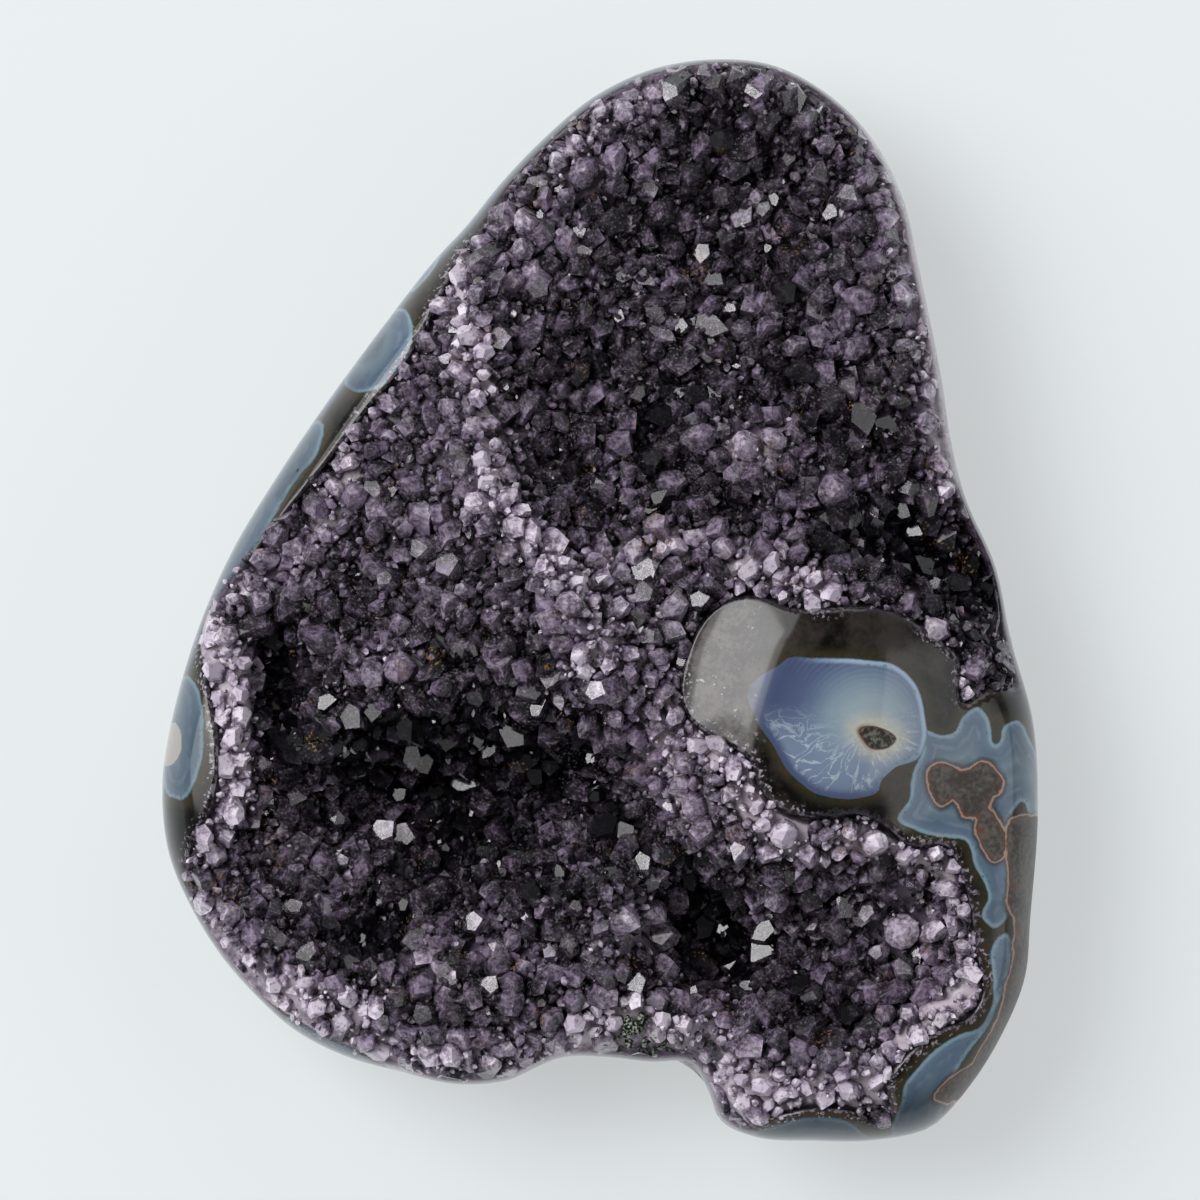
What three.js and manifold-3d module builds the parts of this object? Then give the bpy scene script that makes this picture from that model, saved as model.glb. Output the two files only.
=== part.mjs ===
// An amethyst druse: a boulder slice of agate and basalt, ground and polished round its edge,
// whose face is a crust of amethyst points. It lies on its back with the points up.
// Millimetres, +Z up. The origin is under the middle of the outline, on the surface it lies on.
import * as THREE from "three";
import { ConvexHull } from "three/addons/math/ConvexHull.js";
import { mergeVertices } from "three/addons/utils/BufferGeometryUtils.js";
import Module from "manifold-3d";

// Heights of the stone's own form.
const WIDEST_Z = 24; // height of the silhouette
const ROUND_RISE = 13; // the polished round-over climbs this far above it
const ROUND_WIDTH = 6; // and this far inwards
const DOME_RISE = 11; // further rise of the polished face towards the middle
const DOME_REACH = 22;
const EYE = { x: 40, y: -18, across: 27, along: 21, rise: 6.5 }; // polished dome of the agate eye

// The crust.
const CRUST_EDGE_THICK = 3.2;
const CRUST_THICK = 7.2;
const CRUST_FADE = 8; // the crust reaches its full thickness this far in from its edge
const CRUST_SUNK = 1; // its mean face lies this far under the polished face at the edge
const STANDING = 14; // points away from the ground edge may stand this far over the polished face
const SEAM = 0.3; // gap between crust and stone
const POINT_SPACING = 4.5;
const POINT_RISE = { least: 1.2, most: 3.8 }; // height of a tip over the crust's mean face
const POINT_LEAN = 0.5; // how far a point leans at random, as a slope
const POINT_SHIFT = 1.3; // no tip stands further than this to the side of its place
const VALLEY_DEPTH = 0.7; // the corners between points lie this far under the mean face
const SLOPE_STEP = 2; // the crust's slope is measured over this distance each way
const CEILING = 95;

// How finely the stone is drawn.
const ROUND_STEPS = 72;
const FLOOR_STEPS = 38;
const CRUST_EDGE_STEPS = 96;
const HEART = new THREE.Vector2(14, -9); // every ring of the stone closes in on this point

// The silhouette seen from above, anticlockwise from the top.
const OUTLINE = [
  [20.5, 100], [9.3, 98.1], [-1.3, 93], [-10.2, 85.6], [-18.1, 77.4], [-24.8, 69.1], [-31.1, 62.3],
  [-41.6, 48.7], [-50.9, 36], [-59.8, 22.8], [-68.3, 8.6], [-75.1, -7.5], [-80.1, -26.5],
  [-81, -36.5], [-79.7, -47.1], [-75.9, -56.3], [-70.5, -65.2], [-63.8, -73], [-56.1, -79.8],
  [-46.8, -84.5], [-37, -87.2], [-27.2, -89.5], [-17.4, -88.9], [-7.2, -84.6], [1.1, -84.5],
  [9.3, -85.4], [16.8, -85.6], [19.8, -90.2], [22.4, -96.2], [28.9, -99.4], [39.6, -100],
  [50.7, -99.9], [61.2, -97.4], [68.8, -89.3], [74.6, -79.8], [78.6, -69.8], [79.6, -58.6],
  [81, -39.3], [80.1, -22.5], [76, -7.3], [73.1, 6.4], [67.7, 18.6], [65, 29], [63.1, 41.5],
  [59, 61.5], [56.1, 74.1], [50.3, 85.4], [42, 93.7], [31.8, 99],
];

// The edge of the crust seen from above. Where the points run out to the silhouette it lies outside it.
const CRUST_EDGE = [
  [20, 99.2], [8.6, 96.6], [-2, 90.8], [-10.6, 83.2], [-17.2, 76], [-22, 68.4], [-25.6, 63.6],
  [-31, 53], [-36.2, 43.6], [-43.8, 34.2], [-49.6, 26.6], [-57.4, 16.8], [-65.2, 7.2], [-72.2, -1.8],
  [-73.8, -7.6], [-72.6, -14.4], [-70.4, -26], [-71.6, -37.6], [-75, -44.2], [-76.6, -52.2],
  [-72.4, -61.4], [-66, -70.2], [-57.2, -76.8], [-48.6, -81.2], [-40.6, -85.4], [-33, -91],
  [-17, -92], [-6, -88], [8, -88.6], [14.6, -90], [17.6, -97], [25.2, -98], [32.7, -95.3],
  [40, -93.7], [47.9, -94.8], [52, -97], [53.9, -94.4], [52.9, -88.6], [56.4, -84.1], [61.8, -79.6],
  [67.7, -77.4], [70.9, -72.1], [69.2, -63.7], [68.8, -58.2], [66.2, -48.8], [63.3, -44.5],
  [57.5, -44.9], [52.4, -41.1], [47.7, -38.9], [38.3, -39.5], [32.7, -37.6], [29, -33.2],
  [27.7, -28.9], [20.5, -24.6], [16.5, -21.4], [15.2, -15.1], [17.3, -7.4], [21.8, -1.5], [28, 0.6],
  [34.6, -1.8], [41.4, -1.9], [47.7, -1.4], [54, -2.7], [60.3, -6.4], [65.9, -11.4], [65.3, -16.4],
  [66.4, -19.6], [72.2, -16.4], [77.4, -17.2], [81.8, -12], [78.4, 2], [74.4, 15], [69, 28],
  [67, 44], [63, 62], [59.6, 77], [52, 89], [41, 96.2], [30.6, 99.8],
];

// Relief of the crust's face: ridges above it, hollows below. Each is a smooth round-cornered hump
// with its middle, its half-widths, its turn in degrees and its height.
const RELIEF = [
  { name: "upper dish", x: 18, y: 48, along: 34, across: 30, turn: 25, rise: -8 },
  { name: "top dish", x: 21, y: 74, along: 20, across: 14, turn: 0, rise: -3 },
  { name: "right trough", x: 62, y: 8, along: 15, across: 9, turn: -25, rise: -9 },
  { name: "eye mound", x: 32, y: -17, along: 33, across: 24, turn: -15, rise: 4.5 },
  { name: "spine top", x: -23, y: 50, along: 26, across: 6, turn: 88, rise: 4.5 },
  { name: "spine middle", x: -15, y: 14, along: 20, across: 6.5, turn: -58, rise: 6 },
  { name: "spine foot", x: -2, y: -8, along: 16, across: 7, turn: -78, rise: 6 },
  { name: "left bench", x: -44, y: 0, along: 22, across: 18, turn: 55, rise: -2.5 },
  { name: "left gap", x: -59.5, y: -17, along: 13, across: 5, turn: 88, rise: -11 },
  { name: "great hollow", x: -22, y: -37, along: 27, across: 13.5, turn: 4, rise: -25 },
  { name: "left hollow", x: -52, y: -46, along: 17, across: 15, turn: 0, rise: -9 },
  { name: "hollow's tail", x: -28, y: -60, along: 24, across: 8, turn: -6, rise: -8 },
  { name: "middle ridge", x: 3, y: -57, along: 14, across: 8, turn: 65, rise: 4 },
  { name: "south pit", x: 19.5, y: -61, along: 14, across: 11, turn: -20, rise: -17 },
  { name: "south-east dish", x: 47, y: -65, along: 22, across: 14, turn: 20, rise: -10 },
];

const closedCurve = (points) =>
  new THREE.CatmullRomCurve3(points.map(([x, y]) => new THREE.Vector3(x, y, 0)), true, "centripetal");

const ring = (points, steps) =>
  closedCurve(points).getSpacedPoints(steps).slice(0, steps).map((p) => new THREE.Vector2(p.x, p.y));

const silhouette = ring(OUTLINE, ROUND_STEPS);
const crustEdge = ring(CRUST_EDGE, CRUST_EDGE_STEPS);

// Shortest distance from a point to a closed ring of points.
function distanceTo(points, x, y) {
  let best = Infinity;
  points.forEach((a, i) => {
    const b = points[(i + 1) % points.length];
    const ux = b.x - a.x;
    const uy = b.y - a.y;
    const t = THREE.MathUtils.clamp(((x - a.x) * ux + (y - a.y) * uy) / (ux * ux + uy * uy), 0, 1);
    best = Math.min(best, Math.hypot(x - a.x - t * ux, y - a.y - t * uy));
  });
  return best;
}

function isInside(points, x, y) {
  let inside = false;
  points.forEach((a, i) => {
    const b = points[(i + 1) % points.length];
    if (a.y > y !== b.y > y && x < a.x + ((y - a.y) * (b.x - a.x)) / (b.y - a.y)) inside = !inside;
  });
  return inside;
}

// Share of a hump's height at a point, with a flat top and soft shoulders.
function hump({ x, y, along, across, turn = 0 }, px, py) {
  const angle = THREE.MathUtils.degToRad(turn);
  const u = (px - x) * Math.cos(angle) + (py - y) * Math.sin(angle);
  const v = (py - y) * Math.cos(angle) - (px - x) * Math.sin(angle);
  const r2 = (u / along) ** 2 + (v / across) ** 2;
  return Math.exp(-(r2 ** 1.5));
}

// The polished face: a round-over at the edge, a low dome inside it and the eye's own dome.
function polishedFace(x, y) {
  const inwards = isInside(silhouette, x, y) ? distanceTo(silhouette, x, y) : 0;
  const over = 1 - Math.min(inwards / ROUND_WIDTH, 1);
  const dome = 1 - Math.exp(-inwards / DOME_REACH);
  const rim = WIDEST_Z + ROUND_RISE * Math.sqrt(1 - over * over);
  return rim + DOME_RISE * dome + EYE.rise * hump(EYE, x, y);
}

// The mean level of the crystals, and the stone's floor under them.
function crustLevel(x, y) {
  const inwards = isInside(crustEdge, x, y) ? distanceTo(crustEdge, x, y) : 0;
  const share = THREE.MathUtils.smoothstep(inwards, 0, CRUST_FADE);
  const relief = RELIEF.reduce((sum, r) => sum + r.rise * hump(r, x, y), 0);
  return {
    face: polishedFace(x, y) - CRUST_SUNK + share * relief,
    thick: THREE.MathUtils.lerp(CRUST_EDGE_THICK, CRUST_THICK, share),
  };
}

function floorLevel(x, y) {
  const { face, thick } = crustLevel(x, y);
  return face - thick;
}

// A closed mesh from rings of vertices, first and last closed by a middle point.
function ringsToGeometry(first, rings, last) {
  const count = rings[0].length;
  const vertices = [first, ...rings.flat(), last];
  const at = (r, i) => 1 + r * count + (i % count);
  const faces = [];
  for (let i = 0; i < count; i++) {
    faces.push([0, at(0, i + 1), at(0, i)]);
    for (let r = 0; r + 1 < rings.length; r++) {
      faces.push([at(r, i), at(r, i + 1), at(r + 1, i)]);
      faces.push([at(r, i + 1), at(r + 1, i + 1), at(r + 1, i)]);
    }
    faces.push([at(rings.length - 1, i), at(rings.length - 1, i + 1), vertices.length - 1]);
  }
  const geometry = new THREE.BufferGeometry();
  geometry.setAttribute("position", new THREE.Float32BufferAttribute(vertices.flat(), 3));
  return geometry.setIndex(faces.flat());
}

const wasm = await Module();
wasm.setup();

function toSolid(geometry) {
  const bare = geometry.clone();
  bare.deleteAttribute("normal");
  bare.deleteAttribute("uv");
  const merged = mergeVertices(bare, 1e-4);
  return new wasm.Manifold(
    new wasm.Mesh({
      numProp: 3,
      vertProperties: merged.attributes.position.array,
      triVerts: new Uint32Array(merged.index.array),
    }),
  );
}

function toGeometry(solid) {
  const mesh = solid.getMesh();
  const geometry = new THREE.BufferGeometry();
  geometry.setAttribute("position", new THREE.BufferAttribute(new Float32Array(mesh.vertProperties), 3));
  geometry.setIndex(new THREE.BufferAttribute(new Uint32Array(mesh.triVerts), 1));
  return geometry;
}

// A ring drawn in towards the heart, by a distance in millimetres and then by a share.
function drawnIn(points, inset, share, height) {
  return points.map((p) => {
    const arm = p.clone().sub(HEART);
    const q = HEART.clone().addScaledVector(arm, share * (1 - inset / arm.length()));
    return [q.x, q.y, height(q.x, q.y)];
  });
}

// A ring with its corners worn off by averaging each point with its neighbours.
function softened(points, rounds) {
  let worn = points;
  for (let k = 0; k < rounds; k++) {
    worn = worn.map((p, i) => {
      const sides = worn.at(i - 1).clone().add(worn[(i + 1) % worn.length]);
      return p.clone().multiplyScalar(0.5).addScaledVector(sides, 0.25);
    });
  }
  return worn;
}

// Swells of the rough back: none at the resting spot or at the silhouette.
const LUMP = { height: 1.3, wide: 9, long: 13, fadeBelow: 5, fadeAbove: 8 };

function lump(x, y, z) {
  const low = THREE.MathUtils.clamp(z / LUMP.fadeBelow, 0, 1);
  const high = THREE.MathUtils.clamp((WIDEST_Z - z) / LUMP.fadeAbove, 0, 1);
  const swell = Math.sin(x / LUMP.wide + Math.cos(y / LUMP.long)) + Math.cos((y - x) / LUMP.long);
  return LUMP.height * low * high * swell;
}

// The stone before the crust's bed is cut: a flat resting spot, a bowl-shaped underside, the
// polished round-over and the polished face. "face" gives the height of the top.
const UNDERSIDE = [
  { share: 0.38, z: 0, soften: 60 },
  { share: 0.57, z: 1.8, soften: 40 },
  { share: 0.74, z: 5.4, soften: 22 },
  { share: 0.88, z: 11, soften: 9 },
  { share: 0.965, z: 17.5, soften: 3 },
  { share: 1, z: WIDEST_Z, soften: 0 },
];
const ROUND_OVER = [0.5, 1.8, 3.6, ROUND_WIDTH];
const FACE_SHARES = [0.85, 0.74, 0.63, 0.52, 0.4, 0.26];

function stoneForm(face) {
  const rings = [
    ...UNDERSIDE.map(({ share, z, soften }) => {
      const worn = softened(silhouette, soften);
      return drawnIn(worn, 0, share, (x, y) => z + lump(x, y, z));
    }),
    ...ROUND_OVER.map((inset) => drawnIn(silhouette, inset, 1, face)),
    ...FACE_SHARES.map((share) => drawnIn(silhouette, ROUND_WIDTH, share, face)),
  ];
  const top = [HEART.x, HEART.y, face(HEART.x, HEART.y)];
  return toSolid(ringsToGeometry([HEART.x, HEART.y, 0], rings, top));
}

// Everything over the crust's floor, raised by "lift".
const FLOOR_SHARES = [0.17, 0.31, 0.44, 0.56, 0.67, 0.78, 0.9, 1.06];

function overFloor(lift) {
  const edge = ring(OUTLINE, FLOOR_STEPS);
  const height = (x, y) => floorLevel(x, y) + lift;
  const rings = FLOOR_SHARES.map((share) => drawnIn(edge, 0, share, height));
  rings.push(drawnIn(edge, 0, FLOOR_SHARES.at(-1), () => CEILING));
  const bottom = [HEART.x, HEART.y, height(HEART.x, HEART.y)];
  return toSolid(ringsToGeometry(bottom, rings, [HEART.x, HEART.y, CEILING]));
}

// An upright prism on the crust's edge, drawn out by "grow".
function overCrust(grow) {
  const corners = crustEdge.map((p, i) => {
    const a = crustEdge.at(i - 1);
    const b = crustEdge[(i + 1) % crustEdge.length];
    const out = new THREE.Vector2(b.y - a.y, a.x - b.x).normalize();
    return p.clone().addScaledVector(out, grow);
  });
  const options = { depth: CEILING, bevelEnabled: false };
  return toSolid(new THREE.ExtrudeGeometry(new THREE.Shape(corners), options));
}

// A repeatable random number from 0 to 1.
function randomFrom(seed) {
  let state = seed;
  return () => {
    state = (state + 0x6d2b79f5) | 0;
    let t = Math.imul(state ^ (state >>> 15), 1 | state);
    t = (t + Math.imul(t ^ (t >>> 7), 61 | t)) ^ t;
    return ((t ^ (t >>> 14)) >>> 0) / 4294967296;
  };
}

// Places for the points: darts thrown at the crust, none nearer to another than the spacing. A few
// fall just outside its edge, so that the edge cuts through whole points.
const DARTS = 30000;
const FIELD = { x: 90, y: 108, border: 150, borderSteps: 24 };

function pointPlaces(random) {
  const places = [];
  for (let tries = 0; tries < DARTS; tries++) {
    const x = FIELD.x * (2 * random() - 1);
    const y = FIELD.y * (2 * random() - 1);
    const crowded = places.some((p) => Math.hypot(p.x - x, p.y - y) < POINT_SPACING);
    if (crowded) continue;
    if (isInside(crustEdge, x, y) || distanceTo(crustEdge, x, y) < POINT_SPACING) places.push({ x, y });
  }
  return places;
}

// The tip of the point at a place: it stands along the crust's normal and leans at random.
function pointTip({ x, y }, random) {
  const level = (px, py) => crustLevel(px, py).face;
  const dx = (level(x + SLOPE_STEP, y) - level(x - SLOPE_STEP, y)) / (2 * SLOPE_STEP);
  const dy = (level(x, y + SLOPE_STEP) - level(x, y - SLOPE_STEP)) / (2 * SLOPE_STEP);
  const axis = new THREE.Vector3(
    -dx + POINT_LEAN * (random() - 0.5),
    -dy + POINT_LEAN * (random() - 0.5),
    1,
  ).normalize();
  const rise = THREE.MathUtils.lerp(POINT_RISE.least, POINT_RISE.most, random());
  const side = new THREE.Vector2(axis.x, axis.y).multiplyScalar(rise).clampLength(0, POINT_SHIFT);
  return [x + side.x, y + side.y, level(x, y) + rise * axis.z];
}

// Triangles that join neighbouring places, each anticlockwise from above: the underside of the hull
// of the same places lifted onto a paraboloid.
function netOf(places) {
  const lifted = places.map(({ x, y }) => new THREE.Vector3(x, y, (x * x + y * y) / FIELD.border));
  const indexOf = new Map(lifted.map((point, i) => [point, i]));
  const underside = new ConvexHull().setFromPoints(lifted).faces.filter((f) => f.normal.z < 0);
  return underside.map((face) => [2, 1, 0].map((k) => indexOf.get(face.getEdge(k).head().point)));
}

// Everything under the points. Each triangle of the net holds one valley corner, and each side of
// it parts two points, so a point has as many tip faces as it has neighbours.
function underPoints() {
  const random = randomFrom(7);
  const places = pointPlaces(random);
  const vertices = places.map((place) => pointTip(place, random));
  for (let i = 0; i < FIELD.borderSteps; i++) {
    const angle = (2 * Math.PI * i) / FIELD.borderSteps;
    places.push({ x: FIELD.border * Math.cos(angle), y: FIELD.border * Math.sin(angle) });
    vertices.push([places.at(-1).x, places.at(-1).y, WIDEST_Z]);
  }
  const net = netOf(places);
  const valleys = net.map((corners, k) => {
    const x = corners.reduce((sum, c) => sum + places[c].x, 0) / 3;
    const y = corners.reduce((sum, c) => sum + places[c].y, 0) / 3;
    vertices.push([x, y, crustLevel(x, y).face - VALLEY_DEPTH]);
    return places.length + k;
  });
  const valleyLeftOf = new Map();
  net.forEach((corners, k) => {
    corners.forEach((a, i) => valleyLeftOf.set(`${a} ${corners[(i + 1) % 3]}`, valleys[k]));
  });
  const below = vertices.push([0, 0, 0]) - 1;
  const faces = [];
  for (const [edge, left] of valleyLeftOf) {
    const [a, b] = edge.split(" ").map(Number);
    const right = valleyLeftOf.get(`${b} ${a}`);
    if (right === undefined) faces.push([a, b, left], [a, below, b]);
    else faces.push([a, right, left]);
  }
  const geometry = new THREE.BufferGeometry();
  geometry.setAttribute("position", new THREE.Float32BufferAttribute(vertices.flat(), 3));
  return toSolid(geometry.setIndex(faces.flat()));
}

function largestPiece(solid) {
  return solid.decompose().reduce((best, s) => (s.volume() > best.volume() ? s : best));
}

function makeCrust() {
  // The points were ground flush with the polished edge, and stand freely further in.
  const envelope = stoneForm((x, y) => {
    const inwards = distanceTo(silhouette, x, y);
    const free = THREE.MathUtils.smoothstep(inwards, ROUND_WIDTH / 2, ROUND_WIDTH * 2);
    return polishedFace(x, y) + STANDING * free;
  });
  const grown = underPoints().intersect(overFloor(SEAM)).intersect(overCrust(0));
  return largestPiece(grown.intersect(envelope));
}

function makeStone() {
  const bed = overFloor(0).intersect(overCrust(SEAM));
  return largestPiece(stoneForm(polishedFace).subtract(bed));
}

const agate = new THREE.MeshStandardMaterial({
  color: 0x4c5a66,
  roughness: 0.18,
  metalness: 0,
});
const amethyst = new THREE.MeshStandardMaterial({
  color: 0x4a3f52,
  roughness: 0.12,
  metalness: 0,
  flatShading: true,
});

function named(name, solid, material) {
  const mesh = new THREE.Mesh(toGeometry(solid), material);
  mesh.name = name;
  return mesh;
}

const druse = new THREE.Group();
druse.add(named("agate_stone", makeStone(), agate));
druse.add(named("crystal_crust", makeCrust(), amethyst));

export default druse;
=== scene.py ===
"""An amethyst druse that lies on its back: a polished slice of agate and basalt whose face is a
crust of amethyst points. Lengths are millimetres here, and meshes are put down in metres."""

import math

import bpy
import numpy as np
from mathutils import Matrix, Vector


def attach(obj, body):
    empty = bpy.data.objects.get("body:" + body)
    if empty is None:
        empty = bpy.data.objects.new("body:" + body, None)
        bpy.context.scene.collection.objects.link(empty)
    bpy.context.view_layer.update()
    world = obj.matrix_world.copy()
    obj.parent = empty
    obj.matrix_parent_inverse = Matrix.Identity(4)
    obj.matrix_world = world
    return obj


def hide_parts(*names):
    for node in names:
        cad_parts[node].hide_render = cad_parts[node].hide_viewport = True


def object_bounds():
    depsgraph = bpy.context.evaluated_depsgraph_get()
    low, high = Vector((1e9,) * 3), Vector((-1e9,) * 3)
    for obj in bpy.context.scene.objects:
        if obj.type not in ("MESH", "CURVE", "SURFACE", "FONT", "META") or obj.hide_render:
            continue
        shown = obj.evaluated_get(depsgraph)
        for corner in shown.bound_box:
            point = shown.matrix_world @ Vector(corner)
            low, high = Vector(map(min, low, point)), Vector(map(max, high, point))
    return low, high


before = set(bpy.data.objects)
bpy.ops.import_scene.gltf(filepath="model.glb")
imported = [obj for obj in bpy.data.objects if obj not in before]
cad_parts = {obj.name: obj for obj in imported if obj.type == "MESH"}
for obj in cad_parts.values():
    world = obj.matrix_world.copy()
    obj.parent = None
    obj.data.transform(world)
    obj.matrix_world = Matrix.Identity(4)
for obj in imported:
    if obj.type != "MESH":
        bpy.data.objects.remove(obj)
cad_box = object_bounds()
MM = 0.001

# The table and the light. The stone lies on a plain pale table and is seen from straight above,
# under one large soft light up and to the left, whose middle is brighter, three weak ones and a
# room that is pale low down.
WIDEST_Z = 24  # height of the stone's silhouette
CAMERA_HEIGHT = 2400
VIEW_WIDTH = 222  # the picture spans this much at the height of the silhouette
SENSOR = 36
TABLE_SIZE = 9000
TABLE_COLOUR = (0.36, 0.38, 0.39, 1)
TABLE_GLOW = (0.468, 0.488, 0.494, 1)  # it is a light table, so its shadows are pale
OVERHEAD_GLOW = 0.1
HORIZON_GLOW = 0.55
LIGHT_FAR = 3000
# Each light's bearing and its angle from overhead, in degrees, its size and its glow.
SOFT_LIGHTS = {
    "key": {"round": 151, "over": 43, "size": (2500, 2600), "glow": 3.0},
    "key's bright middle": {"round": 151, "over": 37, "size": (1300, 1400), "glow": 4.8},
    "right fill": {"round": -8, "over": 58, "size": (1500, 1700), "glow": 1.3},
    "top fill": {"round": 70, "over": 52, "size": (1700, 1300), "glow": 1.5},
    "low fill": {"round": -115, "over": 60, "size": (1600, 1300), "glow": 1.1},
}


def put_on_table(place):
    """A place or a size given in millimetres, in metres."""
    return [MM * value for value in place]


camera = bpy.data.objects.new("camera", bpy.data.cameras.new("camera"))
camera.data.sensor_width = SENSOR
camera.data.lens = SENSOR * (CAMERA_HEIGHT - WIDEST_Z) / VIEW_WIDTH
camera.location = put_on_table((0, 0, CAMERA_HEIGHT))
bpy.context.scene.collection.objects.link(camera)
bpy.context.scene.camera = camera
bpy.context.scene.view_settings.view_transform = "Standard"

for name, light in SOFT_LIGHTS.items():
    lamp = bpy.data.objects.new(name, bpy.data.lights.new(name, "AREA"))
    lamp.data.shape = "RECTANGLE"
    lamp.data.size, lamp.data.size_y = put_on_table(light["size"])
    lamp.data.energy = light["glow"] * math.pi * lamp.data.size * lamp.data.size_y
    over = math.radians(light["over"])
    turn = math.radians(light["round"])
    aim = (math.sin(over) * math.cos(turn), math.sin(over) * math.sin(turn), math.cos(over))
    lamp.location = put_on_table([LIGHT_FAR * part for part in aim])
    lamp.rotation_euler = lamp.location.to_track_quat("Z", "Y").to_euler()
    lamp.visible_camera = False
    bpy.context.scene.collection.objects.link(lamp)


class Wire:
    """A value in a material's nodes. Sums, products and powers of wires add Math nodes."""

    def __init__(self, tree, socket=None):
        self.tree = tree
        self.socket = socket

    def add(self, kind, settings=None, inputs=None, output=0):
        """Adds any node: its type, its settings, the values or wires of its sockets."""
        node = self.tree.nodes.new(kind)
        for key, value in (settings or {}).items():
            if key == "stops":
                fill_ramp(node.color_ramp, value)
            else:
                setattr(node, key, value)
        for key, value in (inputs or {}).items():
            if isinstance(value, Wire):
                self.tree.links.new(value.socket, node.inputs[key])
            else:
                node.inputs[key].default_value = value
        return Wire(self.tree, node.outputs[output]) if node.outputs else node

    def math(self, operation, *values):
        return self.add("ShaderNodeMath", {"operation": operation}, dict(enumerate(values)))

    def __add__(self, other):
        return self.math("ADD", self, other)

    def __sub__(self, other):
        return self.math("SUBTRACT", self, other)

    def __rsub__(self, other):
        return self.math("SUBTRACT", other, self)

    def __mul__(self, other):
        return self.math("MULTIPLY", self, other)

    def __pow__(self, other):
        return self.math("POWER", self, other)

    __radd__ = __add__
    __rmul__ = __mul__

    def step(self, low, high):
        """0 below the low value, 1 above the high one, smooth between; low may be the higher."""
        settings = {"interpolation_type": "SMOOTHSTEP"}
        return self.add("ShaderNodeMapRange", settings, {0: self, 1: low, 2: high})


def fill_ramp(ramp, stops):
    while len(ramp.elements) < len(stops):
        ramp.elements.new(1)
    for element, (position, colour) in zip(ramp.elements, stops):
        element.position = position
        element.color = colour


def seen(red, green, blue):
    """The colour that a screen shows as these three numbers up to 255."""
    parts = [value / 255 for value in (red, green, blue)]
    return (*[p / 12.92 if p < 0.04 else ((p + 0.055) / 1.055) ** 2.4 for p in parts], 1)


def painted(under, over, amount):
    """One colour laid over another where the amount says."""
    inputs = {0: amount, 6: under, 7: over}
    return amount.add("ShaderNodeMix", {"data_type": "RGBA"}, inputs, output=2)


def start_material(name):
    material = bpy.data.materials.new(name)
    material.use_nodes = True
    material.node_tree.nodes.clear()
    wires = Wire(material.node_tree)
    return material, wires, wires.add("ShaderNodeTexCoord", output="Object")


room = bpy.data.worlds.new("room")
room.use_nodes = True
room.node_tree.nodes.clear()
bpy.context.scene.world = room
wires = Wire(room.node_tree)
upwards = wires.add("ShaderNodeTexCoord", output="Generated")
upwards = wires.add("ShaderNodeSeparateXYZ", inputs={0: upwards}, output=2)
low_down = (1 - upwards.math("MAXIMUM", upwards, 0)) ** 2
glow = OVERHEAD_GLOW + (HORIZON_GLOW - OVERHEAD_GLOW) * low_down
room_light = wires.add("ShaderNodeBackground", inputs={0: (0.93, 0.97, 1, 1), 1: glow})
wires.add("ShaderNodeOutputWorld", inputs={0: room_light})

bpy.ops.object.select_all(action="DESELECT")
bpy.ops.mesh.primitive_plane_add(size=MM * TABLE_SIZE)
table = bpy.context.object
table.name = "table"
table_paint, wires, place = start_material("pale_table")
table_surface = wires.add(
    "ShaderNodeBsdfPrincipled",
    inputs={
        "Base Color": TABLE_COLOUR, "Roughness": 1.0, "Specular IOR Level": 0.0,
        "Emission Color": TABLE_GLOW, "Emission Strength": 1.0,
    },
)
wires.add("ShaderNodeOutputMaterial", inputs={"Surface": table_surface})
table.data.materials.append(table_paint)

# The agate stone. A slice of a hollow boulder: basalt outside, then bands of blue-grey and dark
# brown agate. Its rim and the dome over the agate eye are ground and polished, its back is rough
# rock with a small flat spot to lie on, and its face is a bed that the crystals grow on.
ROUND_RISE = 13  # the polished edge rounds up this far
ROUND_WIDTH = 6  # over this distance in from the outline
DOME_RISE = 11  # and the face domes up by this much more
DOME_REACH = 22
EYE_DOME = {"x": 41, "y": -19, "along": 32, "across": 20, "turn": 74, "rise": 6.5}
CRUST_SUNK = 1  # the crystals' mean face lies this far under the polished one
CRUST_FADE = 8  # and its ridges and hollows set in over this distance from its edge
BED_DEPTH = 2.2  # the bed lies this far under the crystals' mean face
BED_LIP = 1.6  # and falls away from the polished edge over this distance
BED_FROM_RIM = (0.8, 2.6)  # and over these distances in from the stone's outline
HEART = np.array([14.0, -9.0])  # the stone is ringed round this point
SPOT_SHARE = 0.38  # size of the flat resting spot
BACK_FULLNESS = 1.7
BACK_WEAR = 45  # how widely the outline's corners are worn off at the resting spot
WEAR_GROWTH = 1.3  # and how late that wear sets in on the way down
SWELL = 1.0
SWELL_LENGTHS = (9, 13)
SWELL_ABOVE = 8  # the swells fade towards the flat spot from this height
SWELL_BELOW = 9  # and towards the polished edge from this far under it

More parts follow.
